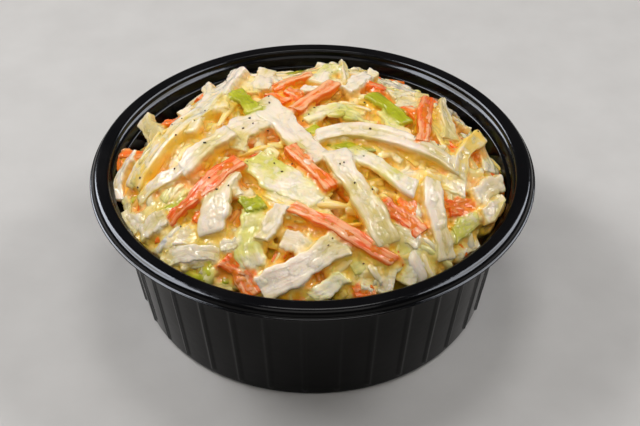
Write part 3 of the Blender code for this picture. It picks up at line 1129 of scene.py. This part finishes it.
def model_fleck():
    deselect_everything()
    bpy.ops.mesh.primitive_ico_sphere_add(subdivisions=1, radius=FLECK_RADIUS)
    fleck = bpy.context.object
    bpy.ops.object.mode_set(mode="EDIT")
    bpy.ops.mesh.select_all(action="SELECT")
    bpy.ops.transform.resize(value=(1.25, 0.9, 0.6))
    bpy.ops.object.mode_set(mode="OBJECT")
    return fleck


fleck = model_fleck()
spots = list(PEPPER_SPOTS)
for number in range(LOOSE_FLECKS):
    spots.append(spiral_place(number, LOOSE_FLECKS, PEPPER_REACH, dice.uniform(0.0, 0.8)))
bpy.context.view_layer.update()
flecks = []
for number, (x, y) in enumerate(spots):
    landing, out = bpy.context.scene.ray_cast(
        bpy.context.evaluated_depsgraph_get(), (x * MM, y * MM, RAY_START), (0.0, 0.0, -1.0))[1:3]
    size = dice.uniform(0.75, 1.25) if number < len(PEPPER_SPOTS) else dice.uniform(0.4, 0.9)
    points = read_points(fleck.data) * size
    points *= [dice.uniform(0.8, 1.2) for _ in range(3)]
    tilt = out.to_track_quat("Z", "Y").to_matrix()
    points = points @ np.array(tilt).T + np.array(landing + out * (0.1 * MM))
    twin = copy_of(fleck)
    write_points(twin.data, points)
    flecks.append(twin)
bpy.data.objects.remove(fleck, do_unlink=True)
pepper = join_pieces(flecks, "pepper_flecks")
print("pepper flecks:", len(flecks), "faces:", len(pepper.data.polygons))

# %% [markdown]
# ## How open each point lies
#
# On top the dressing is almost white. Light that falls between the strips comes back yellow
# and orange, because it passes through leaf and carrot juice several times. The materials
# paint this as shade: closed-in points are darkened a little and mixed towards yellow and
# orange, so the materials need to know how much of the sky each point sees. A map of the
# heap's top is made on a square grid. From each point we look along twelve directions and
# note how steeply the map rises above it.

# %% Measure how open every point lies
CELL = 0.6 * MM
CELLS = 210
LOOK_DISTANCES = (0.9, 1.8, 3.0, 4.5, 6.5)
LOOK_DIRECTIONS = 12
COVER_DEPTH = 1.5 * MM


def cell_of(x, y):
    columns = np.clip((x / CELL + CELLS / 2).astype(int), 0, CELLS - 1)
    rows = np.clip((y / CELL + CELLS / 2).astype(int), 0, CELLS - 1)
    return rows, columns


def neighbours(grid):
    padded = np.pad(grid, 1, mode="edge")
    return np.array([padded[r:r + CELLS, c:c + CELLS] for r in range(3) for c in range(3)])


def read_normals(mesh):
    normals = np.empty(len(mesh.vertices) * 3)
    mesh.vertex_normals.foreach_get("vector", normals)
    return normals.reshape(-1, 3)


def open_share(points, normals):
    """How much open sky each point sees, from 0 to 1, as if the heap's dome were flat."""
    total = np.zeros(len(points))
    above_heap = points[:, 2] - heap_height(points[:, 0], points[:, 1])
    facing_out = np.sum(normals * heap_slope(points[:, 0], points[:, 1]), axis=1)
    for turn in range(LOOK_DIRECTIONS):
        angle = math.tau * turn / LOOK_DIRECTIONS
        steepest = np.zeros(len(points))
        for distance in LOOK_DISTANCES:
            x = points[:, 0] + math.cos(angle) * distance * MM
            y = points[:, 1] + math.sin(angle) * distance * MM
            rise = top_map[cell_of(x, y)] - above_heap
            steepest = np.maximum(steepest, rise / (distance * MM))
        total += 1.0 - steepest / np.sqrt(1.0 + steepest ** 2)
    over = top_map[cell_of(points[:, 0], points[:, 1])] - above_heap
    cover = np.clip(over / COVER_DEPTH, 0.0, 1.0)
    return total / LOOK_DIRECTIONS * (1.0 - 0.6 * cover) * (0.6 + 0.4 * facing_out)


top_map = np.full((CELLS, CELLS), -4.0 * MM)
shown_pieces = list(pieces.values()) + [dressing]
for piece in shown_pieces:
    points = read_points(piece.data)
    above_heap = points[:, 2] - heap_height(points[:, 0], points[:, 1])
    np.maximum.at(top_map, cell_of(points[:, 0], points[:, 1]), above_heap)
top_map = neighbours(neighbours(top_map).max(axis=0)).mean(axis=0)
for piece in shown_pieces:
    share = open_share(read_points(piece.data), read_normals(piece.data))
    save_attribute(piece.data, "open", "FLOAT", share)
    print(piece.name, "open share", np.percentile(share, (10, 50, 90)).round(2))

# %% [markdown]
# ## Finishes
#
# A strip's own colour runs in fibres along it, so it is read from "grain". The dressing on
# it is a pinkish white film that lies on its open tops, in patches; this also makes the open
# tops whiter, partly as painted light. Closed-in places get painted shade: darkened a little
# and mixed towards yellow and orange. All of it lets some light in, which is what subsurface
# scattering is for, and a wet clear coat shines on top.

# %% Vegetable finish
FILM_COLOUR = (0.91, 0.77, 0.63)
# Orange and yellow painted shade, mixed into closed-in places.
PAINTED_SHADE_ORANGE = (0.97, 0.27, 0.003)
PAINTED_SHADE_YELLOW = (0.95, 0.54, 0.02)
THIN_SHADE = (0.84, 0.84, 0.55)
# Painted shade: a warm tint multiplied into half-closed places.
SHADED = (1.0, 0.95, 0.78)
DRIFT_SCALE = 85.0
SCATTER_WEIGHT = 0.55
SCATTER_RADIUS = (1.0, 0.7, 0.35)
SCATTER_SCALE = 0.0013
WET_COAT = 1.0
WET_COAT_ROUGHNESS = 0.12


def read_attribute(tree, name):
    return add_node(tree, "ShaderNodeAttribute", attribute_name=name)


def add_up(tree, parts):
    """The weighted sum of several values; parts are (value, weight) pairs."""
    total = 0.0
    for value, weight in parts:
        total = add_node(tree, "ShaderNodeMath", {0: value, 1: weight, 2: total},
                         operation="MULTIPLY_ADD").outputs[0]
    return total


def paint_warm_shade(tree, colour, place, openness, closed, clear, most):
    """Paints shade where a point is closed in: darkens the colour a little and mixes it towards
    yellow and orange.
    """
    # Painted shade colour: yellow or orange, chosen by noise.
    warmth = add_noise(tree, place, 110.0)
    painted_shade_colour = add_mix(tree, add_ramp(tree, warmth, ((0.48, 0.0), (0.65, 1.0))),
                          (*PAINTED_SHADE_YELLOW, 1.0), (*PAINTED_SHADE_ORANGE, 1.0))
    # Painted shade: half-closed places are darkened and warmed by this tint.
    shade = add_ramp(tree, openness, ((0.15, SHADED), (0.45, 1.0)))
    shaded = add_mix(tree, 1.0, colour, shade, blend="MULTIPLY")
    # How much painted shade a closed-in point gets.
    share = add_ramp(tree, openness, ((closed, most), (clear, 0.0)))
    return add_mix(tree, share, shaded, painted_shade_colour)


def make_it_wet(tree, shader, relief, swell):
    """Light goes a little way in, and a clear coat shines on soft swellings."""
    fill_sockets(tree, shader, {
        "Normal": add_bump(tree, relief, 0.8, 0.0007),
        "Coat Normal": add_bump(tree, swell, 0.8, 0.0020),
        "Subsurface Weight": SCATTER_WEIGHT, "Subsurface Radius": SCATTER_RADIUS,
        "Subsurface Scale": SCATTER_SCALE, "IOR": 1.42, "Specular IOR Level": 0.25,
        "Coat Weight": WET_COAT, "Coat Roughness": WET_COAT_ROUGHNESS, "Coat IOR": 1.45})


def vegetable(name, dark, middle, light, film_start, film=FILM_COLOUR, film_soft=0.16,
              film_most=0.9, streaks=0.35, painted_shade_most=0.8):
    """Flesh with fibres, under a film of dressing on the open tops; the film also makes those tops
    whiter, partly as painted light.
    """
    material, tree, shader = new_material(name)
    place = object_place(tree)
    grain = read_attribute(tree, "grain").outputs["Vector"]
    tone = read_attribute(tree, "tone").outputs["Fac"]
    openness = read_attribute(tree, "open").outputs["Fac"]
    along = add_node(tree, "ShaderNodeMapping", {
        "Vector": grain, "Scale": (0.15, 1.0, 1.0)}).outputs["Vector"]
    fibres = add_noise(tree, along, 1100.0, detail=3.0)
    patches = add_noise(tree, grain, 260.0, detail=2.0)
    drift = add_noise(tree, place, DRIFT_SCALE, detail=1.0)
    body = 1.0 - streaks
    blend = add_up(tree, ((fibres, streaks), (patches, body * 0.25), (drift, body * 0.55),
                          (tone, body * 0.2)))
    flesh = add_ramp(tree, blend, ((0.38, dark), (0.50, middle), (0.62, light)))
    fine = add_noise(tree, place, 480.0, detail=4.0, roughness=0.65)
    film_noise = add_up(tree, ((fine, body * 0.3), (drift, body * 0.7), (fibres, streaks)))
    # The film lies more on open tops; this also whitens them, partly as painted light.
    cover = add_up(tree, ((film_noise, 1.0), (openness, 0.35)))
    mask = add_ramp(tree, cover, ((film_start, 0.0), (film_start + film_soft, film_most)))
    coated = add_mix(tree, mask, flesh, (*film, 1.0))
    # Painted shade in closed-in places.
    colour = paint_warm_shade(tree, coated, place, openness, 0.0, 0.22, painted_shade_most)
    gloss = add_ramp(tree, film_noise, ((0.3, 0.5), (0.7, 0.35)))
    fill_sockets(tree, shader, {"Base Color": colour, "Roughness": gloss})
    lengthwise = add_node(tree, "ShaderNodeMapping", {
        "Vector": grain, "Scale": (0.35, 1.0, 1.0)}).outputs["Vector"]
    swell = add_noise(tree, lengthwise, 340.0, detail=1.0)
    beads = add_noise(tree, place, 1100.0, detail=1.0)
    relief = add_up(tree, ((swell, 0.7), (beads, 0.12), (fibres, streaks + 0.15)))
    glints = add_up(tree, ((swell, 1.0), (fibres, streaks * 0.3)))
    make_it_wet(tree, shader, relief, glints)
    return material


# %% Dressing finish
def dressing_finish():
    """Takes the tint of what lies under it, and is white where it is thick and open; the white on
    open places is partly painted light.
    """
    material, tree, shader = new_material("creamy_dressing")
    place = object_place(tree)
    openness = read_attribute(tree, "open").outputs["Fac"]
    tint = read_attribute(tree, "tint").outputs["Color"]
    bare = read_attribute(tree, "bare").outputs["Fac"]
    drift = add_noise(tree, place, DRIFT_SCALE, detail=1.0)
    fine = add_noise(tree, place, 480.0, detail=4.0, roughness=0.65)
    thin = add_ramp(tree, drift, ((0.38, THIN_SHADE), (0.56, 1.0)))
    thinned = add_mix(tree, 1.0, tint, thin, blend="MULTIPLY")
    # The film lies more on open places; this also whitens them, partly as painted light.
    cover = add_up(tree, ((fine, 0.35), (drift, 0.65), (openness, 0.35), (bare, -0.25)))
    mask = add_ramp(tree, cover, ((0.58, 0.0), (0.80, 0.85)))
    film = add_mix(tree, 0.30, (*FILM_COLOUR, 1.0), tint)
    coated = add_mix(tree, mask, thinned, film)
    # Painted shade in closed-in places.
    colour = paint_warm_shade(tree, coated, place, openness, 0.0, 0.20, 0.9)
    fill_sockets(tree, shader, {"Base Color": colour, "Roughness": 0.4})
    swell = add_noise(tree, place, 320.0, detail=1.0)
    beads = add_noise(tree, place, 1100.0, detail=1.0)
    make_it_wet(tree, shader, add_up(tree, ((swell, 1.0), (beads, 0.2))), swell)
    return material


# %% Pepper finish
def pepper_finish():
    material, tree, shader = new_material("black_pepper")
    crumble = add_noise(tree, object_place(tree), 1500.0, detail=3.0)
    tone = add_ramp(tree, crumble, ((0.35, (0.025, 0.012, 0.004)), (0.65, (0.13, 0.07, 0.02))))
    gloss = add_ramp(tree, crumble, ((0.3, 0.9), (0.7, 0.7)))
    fill_sockets(tree, shader, {
        "Base Color": tone, "Roughness": gloss, "Normal": add_bump(tree, crumble, 0.6, 0.0001)})
    return material


# %% Dress the pieces
CARROT_FILM = (0.98, 0.56, 0.32)
FINISHES = {
    "white": vegetable("cabbage_rib", (0.68, 0.54, 0.19), (0.83, 0.68, 0.38), (0.90, 0.76, 0.56),
                       0.64, streaks=0.2, film_soft=0.20),
    "cream": vegetable("cream_leaf", (0.93, 0.60, 0.10), (0.95, 0.70, 0.25), (0.97, 0.79, 0.48),
                       0.68, streaks=0.2),
    "pale": vegetable("pale_leaf", (0.62, 0.57, 0.09), (0.80, 0.71, 0.26), (0.94, 0.82, 0.52),
                      0.70, streaks=0.12),
    "green": vegetable("green_leaf", (0.28, 0.30, 0.004), (0.42, 0.43, 0.008), (0.62, 0.60, 0.06),
                       0.80, film_most=0.5, painted_shade_most=0.3, streaks=0.2),
    "carrot": vegetable("carrot", (0.88, 0.11, 0.002), (0.96, 0.17, 0.004), (0.98, 0.26, 0.02),
                        0.70, film=CARROT_FILM, film_soft=0.14, film_most=0.68, painted_shade_most=0.2,
                        streaks=0.6),
}
dressed = [(piece, FINISHES[kind]) for kind, piece in pieces.items()]
dressed += [(dressing, dressing_finish()), (pepper, pepper_finish())]
for piece, finish in dressed:
    piece.data.materials.clear()
    piece.data.materials.append(finish)
    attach(piece, "root")
    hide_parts("coleslaw")
light_alone([spark_lamp], [piece for piece, finish in dressed], "lit_by_spark")

# %% [markdown]
# ## Sizes, and the end
#
# The measured box and the dressed box are both gathered, and the two heights are printed.
# The dressed object may not outgrow the measured one.

# %% Gather the sizes and print the height
shown_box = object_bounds()
size = {"cad_box": [list(corner) for corner in cad_box],
        "visual_box": [list(corner) for corner in shown_box]}
print("shown height", round(shown_box[1].z / MM, 1), "of", round(cad_box[1].z / MM, 1))
